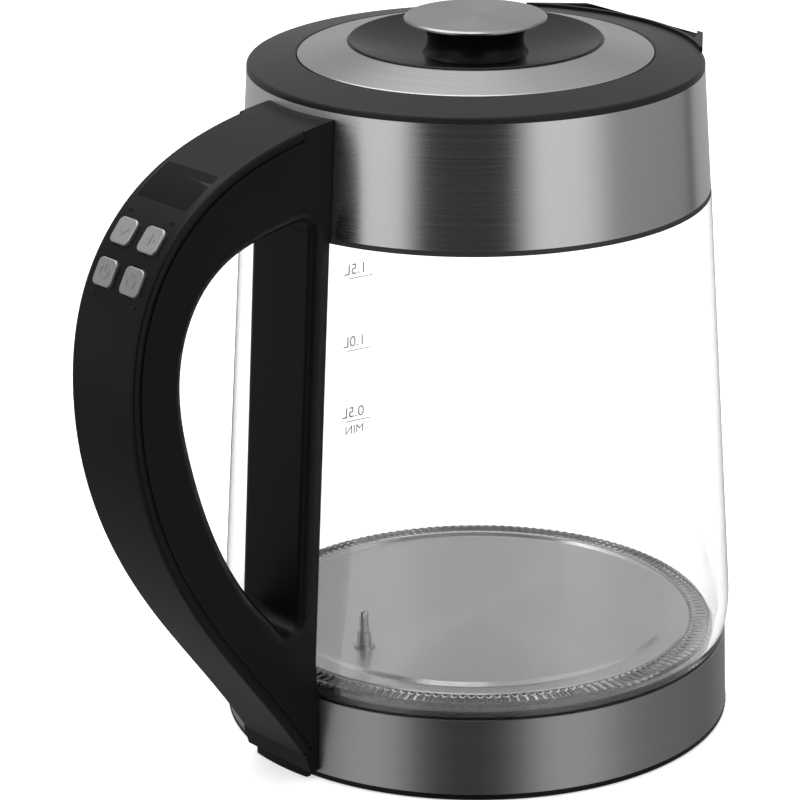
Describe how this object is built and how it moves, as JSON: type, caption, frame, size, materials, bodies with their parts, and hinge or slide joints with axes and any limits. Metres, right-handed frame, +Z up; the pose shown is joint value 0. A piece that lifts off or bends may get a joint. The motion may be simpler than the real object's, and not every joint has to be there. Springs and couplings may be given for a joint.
{
  "type": "electric kettle",
  "caption": "Cordless electric kettle jug: clear glass body between brushed steel bands, lift-off lid, V spout, curved handle with display and push keys.",
  "frame": {"origin": "on the jug's axis, at the plane that the base stands on", "axes": "+Z up, +X towards the spout, handle on the -X side, Y across"},
  "size_m": [0.2383, 0.1578, 0.2219],
  "materials": {
    "black_plastic": "satin moulded, slightly glossy",
    "inner_plastic": "moulded",
    "brushed_band_steel": "brushed round the jug",
    "lid_steel": "brushed round",
    "plate_steel": "turned, circular grain",
    "jug_glass": "clear borosilicate glass",
    "clear_ring": "clear ribbed acrylic",
    "silicone": "black silicone",
    "clear_silicone": "translucent silicone",
    "aluminium_spreader": "cast",
    "element_sheath": "heat-tinted sheath",
    "terminal_metal": "stamped brass",
    "screw_steel": "zinc plated",
    "board_green": "solder mask",
    "lamp_white": "moulded lamp body",
    "switch_black": "moulded",
    "display_smoke": "smoked, polished",
    "key_silver": "satin metallic paint",
    "wire_red": "silicone insulation",
    "cable_grey": "jacket"
  },
  "bodies": {
    "jug": {"base_band": "brushed_band_steel", "base_chassis": "inner_plastic", "base_cover": "black_plastic", "base_screws": "screw_steel", "base_wires": "wire_red", "collar": "inner_plastic", "collar_seal": "silicone", "control_board": "board_green", "coupler_contacts": "terminal_metal", "coupler_socket": "inner_plastic", "display_lens": "display_smoke", "display_module": "board_green", "dry_boil_cutout": "inner_plastic", "element_terminals": "terminal_metal", "foot_insert": "black_plastic", "glass_body": "jug_glass", "glass_gasket": "silicone", "handle_cover": "black_plastic", "handle_screws": "screw_steel", "handle_shell": "black_plastic", "heat_spreader": "aluminium_spreader", "heater_plate": "plate_steel", "heating_element": "element_sheath", "led_board": "board_green", "leds": "lamp_white", "light_ring": "clear_ring", "neck_seal": "silicone", "plate_seal": "clear_silicone", "signal_cable": "cable_grey", "spout_filter": "inner_plastic", "tact_switches": "switch_black", "temperature_probe": "plate_steel", "top_band": "brushed_band_steel", "top_rim": "black_plastic"},
    "lid": {"lid_body": "inner_plastic", "lid_trim_ring": "lid_steel", "lid_dish": "black_plastic", "lid_seal": "silicone", "lid_bottom_plate": "lid_steel", "lid_screws": "screw_steel", "knob_stem": "black_plastic", "knob_cap": "lid_steel"},
    "key_minus_body": {"key_minus": "key_silver"},
    "key_plus_body": {"key_plus": "key_silver"},
    "key_power_body": {"key_power": "key_silver"},
    "key_keep_warm_body": {"key_keep_warm": "key_silver"}
  },
  "joints": [
    {"name": "lid_lift", "type": "slide", "parent": "jug", "child": "lid", "axis": [0, 0, 1], "range_m": [0, 0.055]},
    {"name": "key_minus_press", "type": "slide", "parent": "jug", "child": "key_minus_body", "axis": [0.7694, 0, -0.6387], "range_m": [0, 0.0008], "stiffness_N_per_m": 600},
    {"name": "key_plus_press", "type": "slide", "parent": "jug", "child": "key_plus_body", "axis": [0.7694, 0, -0.6387], "range_m": [0, 0.0008], "stiffness_N_per_m": 600},
    {"name": "key_power_press", "type": "slide", "parent": "jug", "child": "key_power_body", "axis": [0.8841, 0, -0.4673], "range_m": [0, 0.0008], "stiffness_N_per_m": 600},
    {"name": "key_keep_warm_press", "type": "slide", "parent": "jug", "child": "key_keep_warm_body", "axis": [0.8841, 0, -0.4673], "range_m": [0, 0.0008], "stiffness_N_per_m": 600}
  ]
}
